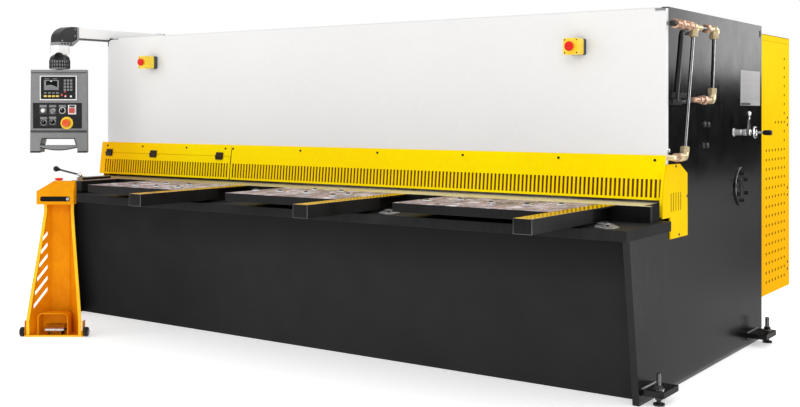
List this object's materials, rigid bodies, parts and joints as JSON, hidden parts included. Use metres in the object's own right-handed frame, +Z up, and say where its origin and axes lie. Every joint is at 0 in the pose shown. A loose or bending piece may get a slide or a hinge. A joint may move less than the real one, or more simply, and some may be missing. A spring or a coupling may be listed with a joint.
{
  "type": "hydraulic guillotine shear",
  "caption": "Swing-beam sheet-metal shear: white-fronted housing between dark side frames, yellow slotted finger guard, support arms, hanging control pendant and foot-pedal stand.",
  "frame": {"origin": "on the floor, under the middle of the whole object's box", "axes": "+X along the table to the operator's right, +Y from the operator into the machine, +Z up"},
  "size_m": [3.9704, 2.86, 1.704],
  "materials": {
    "dark_paint": "textured semi-gloss enamel",
    "apron_paint": "semi-gloss enamel",
    "white_paint": "semi-gloss enamel",
    "yellow_paint": "gloss enamel",
    "orange_paint": "powder coat",
    "tool_steel": "ground",
    "dark_steel": "oiled",
    "chromed": "polished",
    "brass_metal": "machined",
    "light_tube": "satin",
    "grey_case": "satin",
    "black_plastic": "moulded",
    "yellow_plastic": "moulded",
    "red_plastic": "moulded",
    "white_plastic": "moulded",
    "wheel_rubber": "moulded"
  },
  "bodies": {
    "machine": {"side_frame_left": "dark_paint", "side_frame_right": "dark_paint", "levelling_studs": "dark_steel", "front_apron": "apron_paint", "table_base_plate": "dark_paint", "bed_beam": "dark_paint", "shear_blades": "tool_steel", "table_segment_1": "tool_steel", "table_segment_2": "tool_steel", "table_segment_3": "tool_steel", "support_arm_1": "dark_paint", "support_arm_2": "dark_paint", "support_arm_3": "dark_paint", "squaring_arm": "dark_paint", "front_panel": "white_paint", "top_cover": "dark_paint", "oil_tank": "dark_paint", "ram_beam": "dark_paint", "ram_arms": "dark_paint", "ram_cylinders": "dark_steel", "hold_downs": "dark_paint", "rear_tie_beam": "dark_paint", "back_gauge_rails": "dark_steel", "back_gauge_bar": "dark_paint", "guard_hinge_strip": "yellow_paint", "guard_hinges": "black_plastic", "finger_guard_right": "yellow_paint", "guard_end_covers": "yellow_paint", "hydraulic_pipes": "chromed", "pipe_fittings": "brass_metal", "pivot_flanges": "dark_paint", "gap_lever_bush": "chromed", "rear_guard_left": "yellow_paint", "rear_guard_right": "yellow_paint", "pendant_bracket": "dark_paint", "stop_boxes": "yellow_plastic", "pedestal_base": "orange_paint", "pedestal_column": "orange_paint", "pedestal_head": "orange_paint"},
    "guard_door": {"finger_guard_left": "yellow_paint"},
    "pendant_arm": {"pendant_arm_tubes": "light_tube", "pendant_arm_fittings": "black_plastic"},
    "pendant": {"pendant_box": "grey_case", "pendant_module": "white_plastic", "pendant_button_panel": "black_plastic"},
    "pendant_stop": {"pendant_stop_button": "red_plastic"},
    "pendant_start": {"pendant_start_button": "white_plastic"},
    "pendant_halt": {"pendant_halt_button": "red_plastic"},
    "mode_knob": {"pendant_mode_knob": "black_plastic"},
    "selector_1": {"pendant_selector_1": "black_plastic"},
    "selector_2": {"pendant_selector_2": "black_plastic"},
    "stop_left": {"panel_stop_button_left": "red_plastic"},
    "stop_right": {"panel_stop_button_right": "red_plastic"},
    "pedestal_stop": {"pedestal_stop_button": "red_plastic"},
    "pedal": {"foot_pedal": "tool_steel"},
    "wheel_left": {"pedestal_wheel_left": "wheel_rubber"},
    "wheel_right": {"pedestal_wheel_right": "wheel_rubber"},
    "clamp": {"clamp_lever": "chromed"},
    "blade_gap_lever": {"gap_lever": "chromed"}
  },
  "joints": [
    {"name": "guard_door_hinge", "type": "hinge", "parent": "machine", "child": "guard_door", "pos_m": [-1.266, -0.5, 0.947], "axis": [-1, 0, 0], "range_deg": [0, 75]},
    {"name": "pendant_arm_swivel", "type": "hinge", "parent": "machine", "child": "pendant_arm", "pos_m": [-1.85, -0.012, 1.64], "axis": [0, 0, 1], "range_deg": [-90, 0]},
    {"name": "pendant_swivel", "type": "hinge", "parent": "pendant_arm", "child": "pendant", "pos_m": [-1.85, -0.788, 1.44], "axis": [0, 0, 1], "range_deg": [-120, 60]},
    {"name": "pendant_stop_press", "type": "slide", "parent": "pendant", "child": "pendant_stop", "axis": [-0.5736, 0.8192, 0], "range_m": [0, 0.004], "stiffness_N_per_m": 700},
    {"name": "pendant_start_press", "type": "slide", "parent": "pendant", "child": "pendant_start", "axis": [-0.5736, 0.8192, 0], "range_m": [0, 0.003], "stiffness_N_per_m": 700},
    {"name": "pendant_halt_press", "type": "slide", "parent": "pendant", "child": "pendant_halt", "axis": [-0.5736, 0.8192, 0], "range_m": [0, 0.003], "stiffness_N_per_m": 700},
    {"name": "mode_knob_turn", "type": "hinge", "parent": "pendant", "child": "mode_knob", "pos_m": [-1.79519, -0.8131, 1.203], "axis": [-0.5736, 0.8192, 0], "range_deg": [-45, 45]},
    {"name": "selector_1_turn", "type": "hinge", "parent": "pendant", "child": "selector_1", "pos_m": [-1.88571, -0.87648, 1.133], "axis": [-0.5736, 0.8192, 0], "range_deg": [-45, 45]},
    {"name": "selector_2_turn", "type": "hinge", "parent": "pendant", "child": "selector_2", "pos_m": [-1.84229, -0.84608, 1.136], "axis": [-0.5736, 0.8192, 0], "range_deg": [-45, 45]},
    {"name": "stop_left_press", "type": "slide", "parent": "machine", "child": "stop_left", "axis": [0, 1, 0], "range_m": [0, 0.006], "stiffness_N_per_m": 700},
    {"name": "stop_right_press", "type": "slide", "parent": "machine", "child": "stop_right", "axis": [0, 1, 0], "range_m": [0, 0.006], "stiffness_N_per_m": 700},
    {"name": "pedestal_stop_press", "type": "slide", "parent": "machine", "child": "pedestal_stop", "axis": [0, 0, -1], "range_m": [0, 0.004], "stiffness_N_per_m": 700, "springref_m": -0.002},
    {"name": "foot_pedal_press", "type": "hinge", "parent": "machine", "child": "pedal", "pos_m": [-1.32578, -1.20826, 0.054], "axis": [0.8192, 0.5736, 0], "range_deg": [0, 8], "stiffness_Nm_per_rad": 8, "springref_deg": -6.88},
    {"name": "wheel_left_spin", "type": "hinge", "parent": "machine", "child": "wheel_left", "pos_m": [-1.43579, -1.34754, 0.0253], "axis": [0.8192, 0.5736, 0], "continuous": true},
    {"name": "wheel_right_spin", "type": "hinge", "parent": "machine", "child": "wheel_right", "pos_m": [-1.15727, -1.15252, 0.0253], "axis": [0.8192, 0.5736, 0], "continuous": true},
    {"name": "clamp_lever_turn", "type": "hinge", "parent": "machine", "child": "clamp", "pos_m": [-1.5, -0.923, 0.836], "axis": [0, 0, 1], "range_deg": [-60, 90]},
    {"name": "gap_lever_turn", "type": "hinge", "parent": "machine", "child": "blade_gap_lever", "pos_m": [1.85, 0.41, 1.095], "axis": [1, 0, 0], "range_deg": [-50, 50]}
  ]
}
